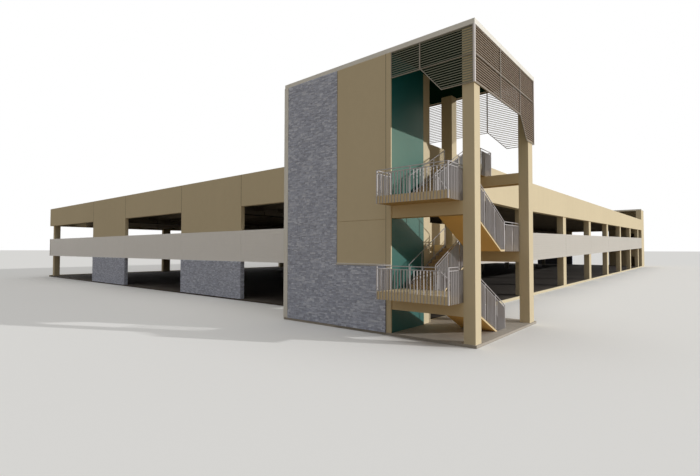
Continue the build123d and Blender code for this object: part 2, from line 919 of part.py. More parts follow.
with BuildPart() as far_tower_west_wall:
    far_door_wall = (far_tower_west, far_tower_west + panel_thickness, south_in, far_inner_north)
    block(far_door_wall, slab_thickness, far_wall_top)
    opening_south = south + far_opening_from_corner
    door = (far_door_width, far_door_height)
    top_opening = (far_top_opening_width, far_top_opening_height)
    for level, (width, height) in zip((slab_thickness, *far_floor_levels), (door, door, top_opening)):
        opening = (*far_door_wall[:2], opening_south, opening_south + width)
        block(opening, level, level + height, mode=Mode.SUBTRACT)
finish(far_tower_west_wall.part, "far_tower_west_wall")

with BuildPart() as far_tower_floors:
    far_floor = (far_tower_west + panel_thickness, east_in, south_in, far_inner_north)
    for level in far_floor_levels:
        block(far_floor, level - far_floor_thickness, level)
finish(far_tower_floors.part, "far_tower_floors")

with BuildPart() as far_tower_roof:
    far_roof = (
        far_tower_west - far_roof_overhang,
        east + far_roof_overhang,
        south - far_roof_overhang,
        far_tower_north + far_roof_overhang,
    )
    block(far_roof, far_wall_top, far_tower_top)
finish(far_tower_roof.part, "far_tower_roof")
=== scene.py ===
import json
import math

import bmesh
import bpy
from mathutils import Matrix, Vector


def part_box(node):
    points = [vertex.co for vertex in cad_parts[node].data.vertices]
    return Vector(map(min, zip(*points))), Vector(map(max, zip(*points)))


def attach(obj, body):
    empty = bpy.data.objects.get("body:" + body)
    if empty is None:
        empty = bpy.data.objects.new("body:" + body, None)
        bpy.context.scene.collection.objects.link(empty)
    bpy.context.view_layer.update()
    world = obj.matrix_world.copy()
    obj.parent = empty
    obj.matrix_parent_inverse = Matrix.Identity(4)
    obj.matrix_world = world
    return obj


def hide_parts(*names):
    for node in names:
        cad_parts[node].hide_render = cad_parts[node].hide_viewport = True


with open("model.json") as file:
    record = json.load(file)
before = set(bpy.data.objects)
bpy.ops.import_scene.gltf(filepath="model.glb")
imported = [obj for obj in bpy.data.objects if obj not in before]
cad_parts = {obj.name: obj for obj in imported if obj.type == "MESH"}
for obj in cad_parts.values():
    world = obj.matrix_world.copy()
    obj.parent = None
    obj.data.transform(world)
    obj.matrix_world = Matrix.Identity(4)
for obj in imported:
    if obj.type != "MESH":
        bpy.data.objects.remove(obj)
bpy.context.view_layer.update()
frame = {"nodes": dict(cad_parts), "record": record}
nodes = frame["nodes"]
print("frame:", len(nodes), "nodes")


# Small helpers for node trees
def tone(red, green, blue):
    # a colour as it shows on a screen, 0 to 255, turned into scene values
    def straight(v):
        v /= 255
        return v / 12.92 if v <= 0.04045 else ((v + 0.055) / 1.055) ** 2.4
    return (straight(red), straight(green), straight(blue), 1.0)


def addNode(tree, kind, values=None, **settings):
    # values go to inputs by name or number, and a socket given as a value is linked
    made = tree.nodes.new(kind)
    for name, value in settings.items():
        setattr(made, name, value)
    for name, value in (values or {}).items():
        socket = made.inputs[name]
        if isinstance(value, bpy.types.NodeSocket):
            tree.links.new(value, socket)
        else:
            socket.default_value = value
    return made


def math2(tree, operation, a, b=0.0):
    return addNode(tree, "ShaderNodeMath", {0: a, 1: b}, operation=operation).outputs[0]


def split(tree, vector):
    return addNode(tree, "ShaderNodeSeparateXYZ", {0: vector}).outputs


def noise(tree, place, scale, detail, roughness=0.5):
    return addNode(tree, "ShaderNodeTexNoise", {"Vector": place, "Scale": scale, "Detail": detail,
                                                "Roughness": roughness}).outputs[0]


def spread(tree, value, start, full, low=0.0, high=1.0):
    # low up to start, rising to high at full
    return addNode(tree, "ShaderNodeMapRange", {"Value": value, "From Min": start, "From Max": full,
                                                "To Min": low, "To Max": high}).outputs[0]


def mixed(tree, factor, first, second):
    return addNode(tree, "ShaderNodeMix", {0: factor, 6: first, 7: second}, data_type="RGBA",
                   blend_type="MIX").outputs[2]


def ramp(tree, factor, stops):
    made = addNode(tree, "ShaderNodeValToRGB", {"Fac": factor})
    band = made.color_ramp
    while len(band.elements) < len(stops):
        band.elements.new(0.5)
    for element, (place, colour) in zip(band.elements, stops):
        element.position = place
        element.color = colour
    return made.outputs["Color"]


def newGroup(name, kind, inputs, outputs):
    group = bpy.data.node_groups.new(name, kind)
    for label, socketType, value in inputs:
        socket = group.interface.new_socket(name=label, in_out="INPUT", socket_type=socketType)
        if value is not None:
            socket.default_value = value
    for label, socketType in outputs:
        group.interface.new_socket(name=label, in_out="OUTPUT", socket_type=socketType)
    return group, group.nodes.new("NodeGroupInput"), group.nodes.new("NodeGroupOutput")


def useGroup(tree, group, values):
    return addNode(tree, "ShaderNodeGroup", values, node_tree=group).outputs[0]


# Shader groups shared by several finishes
patinaForm = {"broadDetail": 3.0, "fineDetail": 4.0, "fineShare": 0.6}
streakForm = {"detail": 3.0, "start": 0.5, "full": 0.75}
grainForm = {"detail": 5.0, "sandScale": 3.1, "sandShare": 0.35}


def buildPatina(form):
    # soft change of tone over metres, with a finer mottling inside it
    group, start, end = newGroup("patina", "ShaderNodeTree", [
        ("Vector", "NodeSocketVector", None), ("Color", "NodeSocketColor", None),
        ("Broad", "NodeSocketFloat", 2.0), ("Fine", "NodeSocketFloat", 40.0),
        ("Amount", "NodeSocketFloat", 0.15)], [("Color", "NodeSocketColor")])
    given = start.outputs
    broad = noise(group, given["Vector"], given["Broad"], form["broadDetail"])
    fine = noise(group, given["Vector"], given["Fine"], form["fineDetail"])
    both = math2(group, "ADD", broad, math2(group, "MULTIPLY", fine, form["fineShare"]))
    middle = (1.0 + form["fineShare"]) / 2
    swing = math2(group, "MULTIPLY", math2(group, "SUBTRACT", both, middle), given["Amount"])
    level = math2(group, "ADD", swing, 1.0)
    scaled = addNode(group, "ShaderNodeVectorMath", {0: given["Color"], 1: level}, operation="MULTIPLY")
    group.links.new(scaled.outputs[0], end.inputs["Color"])
    return group


def buildStreaks(form):
    # rain marks that run down a wall, as a mask
    group, start, end = newGroup("rainStreaks", "ShaderNodeTree", [
        ("Vector", "NodeSocketVector", None), ("Width", "NodeSocketFloat", 30.0),
        ("Length", "NodeSocketFloat", 1.5)], [("Mask", "NodeSocketFloat")])
    given = start.outputs
    stretch = addNode(group, "ShaderNodeCombineXYZ", {"X": given["Width"], "Y": given["Width"],
                                                      "Z": given["Length"]})
    scaled = addNode(group, "ShaderNodeVectorMath", {0: given["Vector"], 1: stretch.outputs[0]},
                     operation="MULTIPLY")
    marks = noise(group, scaled.outputs[0], 1.0, form["detail"])
    group.links.new(spread(group, marks, form["start"], form["full"]), end.inputs["Mask"])
    return group


def buildGrain(form):
    # sand grain of render and cast concrete, as a height
    group, start, end = newGroup("sandGrain", "ShaderNodeTree", [
        ("Vector", "NodeSocketVector", None), ("Scale", "NodeSocketFloat", 400.0)],
        [("Height", "NodeSocketFloat")])
    given = start.outputs
    coarse = noise(group, given["Vector"], given["Scale"], form["detail"])
    finer = math2(group, "MULTIPLY", given["Scale"], form["sandScale"])
    sand = addNode(group, "ShaderNodeTexVoronoi", {"Vector": given["Vector"], "Scale": finer})
    grains = math2(group, "MULTIPLY", sand.outputs["Distance"], form["sandShare"])
    group.links.new(math2(group, "ADD", coarse, grains), end.inputs["Height"])
    return group


patina, rainStreaks, sandGrain = buildPatina(patinaForm), buildStreaks(streakForm), buildGrain(grainForm)


def aged(tree, place, colour, broad, fine, amount):
    # a colour with the patina over it
    return useGroup(tree, patina, {"Vector": place, "Color": colour, "Broad": broad, "Fine": fine,
                                   "Amount": amount})


def grained(tree, place, scale):
    return useGroup(tree, sandGrain, {"Vector": place, "Scale": scale})


# undersides picked out here take a painted colour: painted shade or painted bounce light
soffitBelow = -0.3  # a face whose normal points down by more than this is an underside
grainSpan = (0.3, 0.9)  # heights of grain between which the roughness changes
untinted = (1.0, 1.0, 1.0, 1.0)


def upright(tree):
    # how far a surface looks up, from -1 to 1
    return split(tree, addNode(tree, "ShaderNodeNewGeometry").outputs["Normal"])["Z"]


def facesDown(tree):
    return math2(tree, "LESS_THAN", upright(tree), soffitBelow)


def roughOver(tree, height, low, high):
    return spread(tree, height, *grainSpan, low, high)


def onJoints(tree, place, middles, half):
    # 1 on the upright joints of a wall that runs in Y
    along = split(tree, place)["Y"]
    found = 0.0
    for middle in middles:
        away = math2(tree, "ABSOLUTE", math2(tree, "SUBTRACT", along, middle))
        found = math2(tree, "ADD", found, math2(tree, "LESS_THAN", away, half))
    return found


def startFinish(name):
    material = bpy.data.materials.new(name)
    material.use_nodes = True
    tree = material.node_tree
    tree.nodes.clear()
    place = addNode(tree, "ShaderNodeTexCoord").outputs["Object"]
    return material, tree, place


def endFinish(tree, colour, roughness, height=None, strength=0.0, distance=0.0, metallic=0.0, specular=0.25,
              tint=untinted):
    shader = addNode(tree, "ShaderNodeBsdfPrincipled", {
        "Base Color": colour, "Roughness": roughness, "Metallic": metallic, "Specular IOR Level": specular,
        "Specular Tint": tint})
    if height is not None:
        bump = addNode(tree, "ShaderNodeBump", {"Height": height, "Strength": strength, "Distance": distance})
        tree.links.new(bump.outputs[0], shader.inputs["Normal"])
    out = addNode(tree, "ShaderNodeOutputMaterial")
    tree.links.new(shader.outputs[0], out.inputs["Surface"])


# Mineral finishes: render, cast panels, concrete
smootherBy = 0.12  # low spots of the grain are smoother than its tops


def mineral(name, look):
    material, tree, place = startFinish(name)
    colour = aged(tree, place, tone(*look["colour"]), look["broad"], look["fine"], look["amount"])
    mask = useGroup(tree, rainStreaks, {"Vector": place, "Width": look["streakWidth"],
                                        "Length": look["streakLength"]})
    faded = math2(tree, "MULTIPLY", mask, look["streaks"])
    colour = mixed(tree, faded, colour, tone(*look["stain"]))
    # undersides take a colour that stands in for the light there: painted shade or painted bounce light
    if "under" in look:
        colour = mixed(tree, facesDown(tree), colour, tone(*look["under"]))
    if "joints" in look:
        seams = onJoints(tree, place, look["joints"], look["jointHalf"])
        colour = mixed(tree, seams, colour, tone(*look["joint"]))
    height = grained(tree, place, look["grain"])
    rough = roughOver(tree, height, look["rough"] - smootherBy, look["rough"])
    endFinish(tree, colour, rough, height, look["bump"], look["bumpDepth"], specular=look["specular"],
              tint=look.get("tint", untinted))
    return material


renderCoat = {
    "colour": (218, 203, 170), "stain": (170, 153, 120), "broad": 1.6, "fine": 30.0, "amount": 0.08,
    "streaks": 0.04, "streakWidth": 13.0, "streakLength": 1.1, "grain": 420.0, "rough": 0.95,
    "bump": 0.35, "bumpDepth": 0.0006, "specular": 0.1,
}
towerCoat = {**renderCoat, "joints": (-2.7352, -2.4686), "jointHalf": 0.0011, "joint": (112, 101, 82)}
westParapetCoat = {**renderCoat, "joints": (-1.2992, -0.5142, 0.5142, 1.2992), "jointHalf": 0.0018,
                   "joint": (120, 108, 86)}
# a warmer copy of the tan render for the stair's landings, beams and balconies: painted warm bounce light,
# with painted shade on their undersides
bounceLitCoat = {**renderCoat, "colour": (220, 200, 160), "under": (180, 148, 98)}
# the flights' soffit render: its warmer tone and the bright orange of its undersides are painted bounce light
soffitCoat = {**renderCoat, "colour": (222, 200, 158), "under": (244, 196, 120)}
treadCoat = {**renderCoat, "colour": (196, 166, 122), "stain": (140, 108, 70), "amount": 0.16}
castPanel = {
    "colour": (198, 193, 184), "stain": (160, 154, 143), "broad": 1.4, "fine": 24.0, "amount": 0.06,
    "streaks": 0.05, "streakWidth": 15.0, "streakLength": 1.4, "grain": 520.0, "rough": 0.85,
    "bump": 0.2, "bumpDepth": 0.0004, "specular": 0.25,
}
# a brighter copy of the white panel for the west band, which stands in shade: painted light
castPanelWestPaintedLight = {**castPanel, "colour": (244, 241, 236), "stain": (214, 208, 200), "rough": 0.62,
                 "specular": 0.8}
# the warm specular tint is painted sunlight colour on the highlights
tealCoat = {
    "colour": (12, 99, 99), "stain": (8, 80, 80), "broad": 2.2, "fine": 30.0, "amount": 0.12,
    "streaks": 0.10, "streakWidth": 16.0, "streakLength": 1.2, "grain": 420.0, "rough": 0.46,
    "bump": 0.08, "bumpDepth": 0.0003, "specular": 0.8, "tint": tone(255, 226, 160),
}
paleConcrete = {
    "colour": (176, 168, 156), "stain": (112, 104, 95), "broad": 2.0, "fine": 26.0, "amount": 0.2,
    "streaks": 0.2, "streakWidth": 12.0, "streakLength": 6.0, "grain": 300.0, "rough": 0.9,
    "bump": 0.4, "bumpDepth": 0.0007, "specular": 0.2,
}


# Ground floor: worn concrete, painted darker than its own tone as painted shade inside the garage, with a
# painted kerb along both long sides
groundLook = {
    "colour": (74, 67, 60), "broad": 2.0, "fine": 26.0, "amount": 0.22,
    "stain": (48, 43, 39), "wearScale": 1.3, "wearDetail": 5.0, "wearFrom": 0.5, "wearFull": 0.72,
    "wear": 0.6,
    "kerb": (221, 208, 176), "kerbFrom": 2.7115, "kerbBroad": 5.0, "kerbFine": 60.0, "kerbAmount": 0.12,
    "grain": 300.0, "rough": (0.78, 0.93), "bump": 0.4, "bumpDepth": 0.0007,
}


def groundFinish(look):
    material, tree, place = startFinish("groundConcrete")
    colour = aged(tree, place, tone(*look["colour"]), look["broad"], look["fine"], look["amount"])
    tracks = noise(tree, place, look["wearScale"], look["wearDetail"])
    worn = spread(tree, tracks, look["wearFrom"], look["wearFull"], high=look["wear"])
    colour = mixed(tree, worn, colour, tone(*look["stain"]))
    isKerb = math2(tree, "GREATER_THAN", math2(tree, "ABSOLUTE", split(tree, place)["Y"]), look["kerbFrom"])
    kerb = aged(tree, place, tone(*look["kerb"]), look["kerbBroad"], look["kerbFine"], look["kerbAmount"])
    height = grained(tree, place, look["grain"])
    endFinish(tree, mixed(tree, isKerb, colour, kerb), roughOver(tree, height, *look["rough"]), height,
              look["bump"], look["bumpDepth"])
    return material


# Decks: cast concrete with a sealed joint between neighbouring tees, and undersides painted darker as painted
# shade
deckLook = {
    "colour": (160, 152, 140), "broad": 1.8, "fine": 14.0, "amount": 0.26,
    "oil": (92, 87, 82), "oilScale": 3.4, "oilDetail": 5.0, "oilRoughness": 0.6, "oilFrom": 0.56,
    "oilFull": 0.74, "oiled": 0.45, "joint": (74, 69, 64), "jointHalf": 0.003, "jointShown": 0.8,
    "teePitch": 0.457, "start": -4.73, "under": (104, 94, 80), "grain": 260.0, "rough": (0.75, 0.93),
    "bump": 0.4, "bumpDepth": 0.0008,
}


def deckFinish(look):
    material, tree, place = startFinish("deckConcrete")
    colour = aged(tree, place, tone(*look["colour"]), look["broad"], look["fine"], look["amount"])
    spots = noise(tree, place, look["oilScale"], look["oilDetail"], look["oilRoughness"])
    oily = spread(tree, spots, look["oilFrom"], look["oilFull"], high=look["oiled"])
    colour = mixed(tree, oily, colour, tone(*look["oil"]))
    fromStart = math2(tree, "SUBTRACT", split(tree, place)["X"], look["start"])
    along = math2(tree, "DIVIDE", fromStart, look["teePitch"])
    fromJoint = math2(tree, "ABSOLUTE", math2(tree, "SUBTRACT", math2(tree, "FRACT", along), 0.5))
    onJoint = math2(tree, "GREATER_THAN", fromJoint, 0.5 - look["jointHalf"] / look["teePitch"])
    colour = mixed(tree, math2(tree, "MULTIPLY", onJoint, look["jointShown"]), colour, tone(*look["joint"]))
    colour = mixed(tree, facesDown(tree), colour, tone(*look["under"]))
    height = math2(tree, "SUBTRACT", grained(tree, place, look["grain"]), onJoint)
    endFinish(tree, colour, roughOver(tree, height, *look["rough"]), height, look["bump"], look["bumpDepth"])
    return material


# Stone: each block takes its shade from the value stored on it
stoneLook = {
    "shades": ((174, 179, 196), (187, 193, 210), (195, 201, 218), (205, 211, 227), (224, 229, 242)),
    "broad": 60.0, "fine": 420.0, "amount": 0.3, "cleft": 230.0, "cleftDetail": 6.0, "cleftRoughness": 0.65,
    "rough": 0.9, "bump": 0.7, "bumpDepth": 0.001,
}


def stoneFinish(look):
    material, tree, place = startFinish("ledgeStone")
    shade = addNode(tree, "ShaderNodeAttribute", attribute_name="stoneTone").outputs["Fac"]
    last = len(look["shades"]) - 1
    steps = [(i / last, tone(*colour)) for i, colour in enumerate(look["shades"])]
    colour = aged(tree, place, ramp(tree, shade, steps), look["broad"], look["fine"], look["amount"])
    cleft = noise(tree, place, look["cleft"], look["cleftDetail"], look["cleftRoughness"])
    endFinish(tree, colour, look["rough"], cleft, look["bump"], look["bumpDepth"])
    return material


# Stone walls: mortar behind the stones, and the smooth cap over the lower ones
backingLook = {
    "mortar": (120, 124, 138), "mortarBroad": 4.0, "mortarFine": 60.0, "mortarAmount": 0.3,
    "cap": (206, 200, 190), "capBroad": 6.0, "capFine": 90.0, "capAmount": 0.15, "capFoot": 0.2795,
    "grain": 260.0, "rough": 0.92, "bump": 0.4, "bumpDepth": 0.0008,
}


def backingFinish(look):
    material, tree, place = startFinish("stoneBacking")
    isCap = math2(tree, "GREATER_THAN", split(tree, place)["Z"], look["capFoot"])
    mortar = aged(tree, place, tone(*look["mortar"]), look["mortarBroad"], look["mortarFine"],
                  look["mortarAmount"])
    cap = aged(tree, place, tone(*look["cap"]), look["capBroad"], look["capFine"], look["capAmount"])
    endFinish(tree, mixed(tree, isCap, mortar, cap), look["rough"], grained(tree, place, look["grain"]),
              look["bump"], look["bumpDepth"])
    return material


# Painted and anodised metal: slight orange peel, dust that settles unevenly
paintForm = {
    "broad": 5.0, "fine": 90.0, "topAbove": 0.7, "dust": 22.0, "dustDetail": 5.0, "smoother": 0.08,
    "rougher": 0.1, "peel": 700.0, "peelDetail": 2.0, "bump": 0.12, "bumpDepth": 0.0003,
}


def metal(name, look, form=paintForm):
    material, tree, place = startFinish(name)
    colour = aged(tree, place, tone(*look["colour"]), form["broad"], form["fine"], look["amount"])
    if "over" in look:
        isTop = math2(tree, "GREATER_THAN", upright(tree), form["topAbove"])
        colour = mixed(tree, isTop, colour, tone(*look["over"]))
    dust = noise(tree, place, form["dust"], form["dustDetail"])
    peel = noise(tree, place, form["peel"], form["peelDetail"])
    rough = roughOver(tree, dust, look["rough"] - form["smoother"], look["rough"] + form["rougher"])
    endFinish(tree, colour, rough, peel, form["bump"], form["bumpDepth"], look["metallic"], look["specular"])
    return material


trimPaint = {"colour": (214, 210, 200), "amount": 0.04, "rough": 0.66, "metallic": 0.22, "specular": 0.25}
# near-black teal with no reflection: partly the paint's own dark teal, partly painted shade under the canopy
soffitPaint = {"colour": (12, 40, 28), "amount": 0.12, "rough": 0.7, "metallic": 0.0, "specular": 0.0,
               "over": (168, 164, 156)}
guardPaint = {"colour": (176, 172, 172), "amount": 0.06, "rough": 0.42, "metallic": 0.1, "specular": 0.35}
louvrePaint = {"colour": (172, 154, 134), "amount": 0.08, "rough": 0.5, "metallic": 0.0, "specular": 0.15}
# a greener grey copy of the louvre paint for the west slats, which stand in shade: painted shade lit by the
# sky
westLouvreShadePaint = {**louvrePaint, "colour": (142, 146, 132)}
framePaint = {"colour": (152, 144, 132), "amount": 0.06, "rough": 0.45, "metallic": 0.1, "specular": 0.3}
postPaint = {"colour": (222, 216, 214), "amount": 0.05, "rough": 0.42, "metallic": 0.1, "specular": 0.35}
# near-black bronze of the sun blades: painted shade on their undersides
bladeShadePaint = {"colour": (44, 33, 26), "amount": 0.08, "rough": 0.6, "metallic": 0.0, "specular": 0.0}
stringerPaint = {"colour": (150, 144, 138), "amount": 0.06, "rough": 0.5, "metallic": 0.0, "specular": 0.3}

finishes = {
    "tan_render": mineral("tanRender", renderCoat),
    "white_panel": mineral("whitePanel", castPanel),
    "teal_paint": mineral("tealRender", tealCoat),
    "slab_concrete": groundFinish(groundLook),
    "deck_concrete": deckFinish(deckLook),
    "ledge_stone": backingFinish(backingLook),
    "pale_trim": metal("paleTrim", trimPaint),
    "teal_soffit": metal("tealSoffit", soffitPaint),
    "guard_steel": metal("guardSteel", guardPaint),
    "louvre_bronze": metal("louvreBronze", louvrePaint),
    "stair_steel": metal("stairSteel", stringerPaint),
}
# a few nodes differ a little from the rest of their slot; the west band, the west slats, the stair soffits
# and the warmer landings, beams and balconies carry painted light and shade
bounceLitRender = mineral("bounceLitRender", bounceLitCoat)
ownFinishes = {
    "west_white_band": mineral("whitePanelWestPaintedLight", castPanelWestPaintedLight),
    "west_parapet": mineral("tanRenderWest", westParapetCoat),
    "tower_tan_wall": mineral("tanRenderTower", towerCoat),
    "stair_soffits": mineral("soffitRender", soffitCoat),
    "stair_treads": mineral("treadConcrete", treadCoat),
    "tower_floor": mineral("towerConcrete", paleConcrete),
    "screen_frames": metal("screenFrame", framePaint),
    "screen_corner_posts": metal("screenPost", postPaint),
    "west_screen_slats": metal("louvreWestShade", westLouvreShadePaint),
    "landing_beams": bounceLitRender,
    "balcony_slabs": bounceLitRender,
    "level_2_landing": bounceLitRender,
    "roof_landing": bounceLitRender,
}
for part in frame["record"]["subparts"]:
    for slot in nodes[part["node"]].material_slots:
        slot.material = ownFinishes.get(part["node"], finishes[part["material_slot"]])
print("finishes:", len(finishes), "for slots,", len(ownFinishes), "nodes with their own")


# Courses of blocks on a wall: ledge stones of random length, or straight boards.
# The wall lies in X and Z from the origin, and the blocks stand out towards -Y.
blockForm = {"columns": (-1.0, 0.0, 1.0), "rows": (-1.0, 1.0), "rings": (0.0, 1.0, 2.0)}


def unitBlock(form, name):
    # open-backed block: a front that is split once, a chamfer round it and its sides.
    # "corner" holds each point's side in X and Z, and its ring: 0 on the wall, 1 at the foot
    # of the chamfer, 2 on the front.
    bm = bmesh.new()
    layer = bm.verts.layers.float_vector.new("corner")
    columns, rows = form["columns"], form["rows"]

    def point(u, v, ring):
        vert = bm.verts.new((u, -ring, v))
        vert[layer] = (u, v, ring)
        return vert

    rings = []
    around = [(u, rows[0]) for u in columns] + [(u, rows[-1]) for u in columns[::-1]]
    for ring in form["rings"]:
        rings.append([point(u, v, ring) for u, v in around])
    count = len(around)
    for inner, outer in zip(rings, rings[1:]):
        for i in range(count):
            k = (i + 1) % count
            bm.faces.new((inner[i], inner[k], outer[k], outer[i]))
    front = rings[-1]
    for i in range(len(columns) - 1):
        bm.faces.new((front[i], front[i + 1], front[count - 2 - i], front[count - 1 - i]))
    mesh = bpy.data.meshes.new(name)
    bm.to_mesh(mesh)
    bm.free()
    made = bpy.data.objects.new(name, mesh)
    bpy.context.scene.collection.objects.link(made)
    return made


# How far courses and ends of blocks wander, where a block is halved, how many chamfers wide it
# has to be, and how deep its front is cleft. rowStride keeps the draws of two courses apart, and
# each choice adds a number of its own to the seed.
courseForm = {
    "rowSway": 0.22, "fullSwayFrom": 0.25, "rowStride": 997.0, "rowShift": 2.5, "halves": (0.4, 0.6),
    "leastChamfers": 4.0, "cleftShare": 0.5,
}
choices = {"end": 3, "shift": 5, "foot": 7, "halved": 11, "share": 13, "depth": 17, "shade": 19, "cleft": 23}


def buildCourses(form):
    group, start, end = newGroup("blockCourses", "GeometryNodeTree", [
        ("Block", "NodeSocketObject", None), ("Width", "NodeSocketFloat", 1.0),
        ("Height", "NodeSocketFloat", 1.0), ("Course", "NodeSocketFloat", 0.01),
        ("Length", "NodeSocketFloat", 0.04), ("Joint", "NodeSocketFloat", 0.001),
        ("Chamfer", "NodeSocketFloat", 0.001), ("Least", "NodeSocketFloat", 0.001),
        ("Most", "NodeSocketFloat", 0.004), ("Uneven", "NodeSocketFloat", 0.35),
        ("Halved", "NodeSocketFloat", 0.3), ("Seed", "NodeSocketInt", 1),
        ("Finish", "NodeSocketMaterial", None)], [("Geometry", "NodeSocketGeometry")])
    given = start.outputs

    def calc(operation, a, b=0.0):
        return math2(group, operation, a, b)

    def chance(low, high, key, choice):
        made = addNode(group, "FunctionNodeRandomValue", data_type="FLOAT")
        for name, value in (("Min", low), ("Max", high), ("ID", key)):
            socket = [s for s in made.inputs if s.name == name and s.enabled][0]
            if isinstance(value, bpy.types.NodeSocket):
                group.links.new(value, socket)
            else:
                socket.default_value = value
        group.links.new(calc("ADD", given["Seed"], choices[choice]), made.inputs["Seed"])
        return [s for s in made.outputs if s.enabled][0]

    def held(value, low, high):
        return calc("MINIMUM", calc("MAXIMUM", value, low), high)

    rows = calc("ROUND", calc("DIVIDE", given["Height"], given["Course"]))
    across = calc("ADD", calc("CEIL", calc("DIVIDE", given["Width"], given["Length"])), 2.0)
    total = calc("MULTIPLY", calc("MULTIPLY", rows, across), 2.0)
    points = addNode(group, "GeometryNodePoints", {"Count": total})
    index = addNode(group, "GeometryNodeInputIndex").outputs[0]
    half = calc("MODULO", index, 2.0)
    cell = calc("FLOOR", calc("DIVIDE", index, 2.0))
    row = calc("FLOOR", calc("DIVIDE", cell, across))
    column = calc("MODULO", cell, across)

    def edgeAt(number):
        # left end of a block: a step along the course, moved a little each way
        key = calc("ADD", calc("MULTIPLY", row, form["rowStride"]), number)
        moved = chance(calc("MULTIPLY", given["Uneven"], -1.0), given["Uneven"], key, "end")
        most = calc("MULTIPLY", given["Uneven"], form["rowShift"])
        shifted = calc("MULTIPLY", chance(0.0, 1.0, row, "shift"), most)
        steps = calc("ADD", calc("SUBTRACT", number, 1.0), moved)
        steps = calc("ADD", steps, calc("MULTIPLY", shifted, -1.0))
        return held(calc("MULTIPLY", steps, given["Length"]), 0.0, given["Width"])

    def rowFoot(number):
        # height of a course's foot: the first and the last line stay on the wall's edges
        share = calc("MINIMUM", calc("MULTIPLY", given["Uneven"], 1.0 / form["fullSwayFrom"]), 1.0)
        moved = calc("MULTIPLY", chance(-form["rowSway"], form["rowSway"], number, "foot"), share)
        level = calc("MULTIPLY", calc("ADD", number, moved), calc("DIVIDE", given["Height"], rows))
        isFoot = calc("LESS_THAN", number, 0.5)
        isTop = calc("GREATER_THAN", number, calc("SUBTRACT", rows, 0.5))
        isInside = calc("MULTIPLY", calc("SUBTRACT", 1.0, isFoot), calc("SUBTRACT", 1.0, isTop))
        kept = calc("MULTIPLY", held(level, 0.0, given["Height"]), isInside)
        return calc("ADD", kept, calc("MULTIPLY", isTop, given["Height"]))

    left, right = edgeAt(column), edgeAt(calc("ADD", column, 1.0))
    foot, head = rowFoot(row), rowFoot(calc("ADD", row, 1.0))
    isHalved = calc("LESS_THAN", chance(0.0, 1.0, cell, "halved"), given["Halved"])
    share = chance(*form["halves"], cell, "share")
    middle = calc("ADD", foot, calc("MULTIPLY", calc("SUBTRACT", head, foot), share))
    isLower = calc("MULTIPLY", isHalved, calc("SUBTRACT", 1.0, half))
    isUpper = calc("MULTIPLY", isHalved, half)
    low = calc("ADD", foot, calc("MULTIPLY", isUpper, calc("SUBTRACT", middle, foot)))
    high = calc("ADD", head, calc("MULTIPLY", isLower, calc("SUBTRACT", middle, head)))
    isSpare = calc("MULTIPLY", calc("SUBTRACT", 1.0, isHalved), half)
    narrowest = calc("MULTIPLY", given["Chamfer"], form["leastChamfers"])
    isNarrow = calc("LESS_THAN", calc("SUBTRACT", right, left), narrowest)
    drop = calc("GREATER_THAN", calc("ADD", isSpare, isNarrow), 0.5)
    depth = chance(given["Least"], given["Most"], index, "depth")

    def store(geometry, name, value, dataType="FLOAT"):
        made = addNode(group, "GeometryNodeStoreNamedAttribute", {"Geometry": geometry, "Name": name},
                       data_type=dataType, domain="POINT")
        socket = [s for s in made.inputs if s.name == "Value" and s.enabled][0]
        group.links.new(value, socket)
        return made.outputs[0]

    def vector(x, y, z):
        return addNode(group, "ShaderNodeCombineXYZ", {"X": x, "Y": y, "Z": z}).outputs[0]

    cloud = store(points.outputs[0], "blockLow", vector(left, depth, low), "FLOAT_VECTOR")
    cloud = store(cloud, "blockHigh", vector(right, depth, high), "FLOAT_VECTOR")
    cloud = store(cloud, "stoneTone", chance(0.0, 1.0, index, "shade"))
    cloud = addNode(group, "GeometryNodeDeleteGeometry", {"Geometry": cloud, "Selection": drop}).outputs[0]
    block = addNode(group, "GeometryNodeObjectInfo", {"Object": given["Block"]})
    copies = addNode(group, "GeometryNodeInstanceOnPoints", {"Points": cloud,
                                                             "Instance": block.outputs["Geometry"]})
    solid = addNode(group, "GeometryNodeRealizeInstances", {0: copies.outputs[0]}).outputs[0]

    def stored(name):
        made = addNode(group, "GeometryNodeInputNamedAttribute", {"Name": name}, data_type="FLOAT_VECTOR")
        return split(group, made.outputs[0])

    corner, lowEnd, highEnd = stored("corner"), stored("blockLow"), stored("blockHigh")
    isChamfer = calc("GREATER_THAN", corner["Z"], 1.5)
    inset = calc("ADD", calc("MULTIPLY", given["Joint"], 0.5), calc("MULTIPLY", isChamfer, given["Chamfer"]))

    def between(side, a, b):
        centre = calc("MULTIPLY", calc("ADD", a, b), 0.5)
        reach = calc("SUBTRACT", calc("MULTIPLY", calc("SUBTRACT", b, a), 0.5), inset)
        return calc("ADD", centre, calc("MULTIPLY", side, reach))

    pointKey = addNode(group, "GeometryNodeInputIndex").outputs[0]
    rise = calc("MULTIPLY", calc("SUBTRACT", given["Most"], given["Least"]), form["cleftShare"])
    cleft = chance(calc("MULTIPLY", rise, -1.0), 0.0, pointKey, "cleft")
    face = calc("ADD", lowEnd["Y"], calc("MULTIPLY", isChamfer, cleft))
    shoulder = calc("SUBTRACT", face, calc("MULTIPLY", calc("SUBTRACT", 1.0, isChamfer), given["Chamfer"]))
    isForward = calc("GREATER_THAN", corner["Z"], 0.5)
    y = calc("MULTIPLY", calc("MULTIPLY", shoulder, isForward), -1.0)
    place = vector(between(corner["X"], lowEnd["X"], highEnd["X"]), y,
                   between(corner["Y"], lowEnd["Z"], highEnd["Z"]))
    solid = addNode(group, "GeometryNodeSetPosition", {"Geometry": solid, "Position": place}).outputs[0]
    coloured = addNode(group, "GeometryNodeSetMaterial", {"Geometry": solid, "Material": given["Finish"]})
    group.links.new(coloured.outputs[0], end.inputs["Geometry"])
    return group


blockCourses = buildCourses(courseForm)
stoneBlock = unitBlock(blockForm, "stoneBlock")


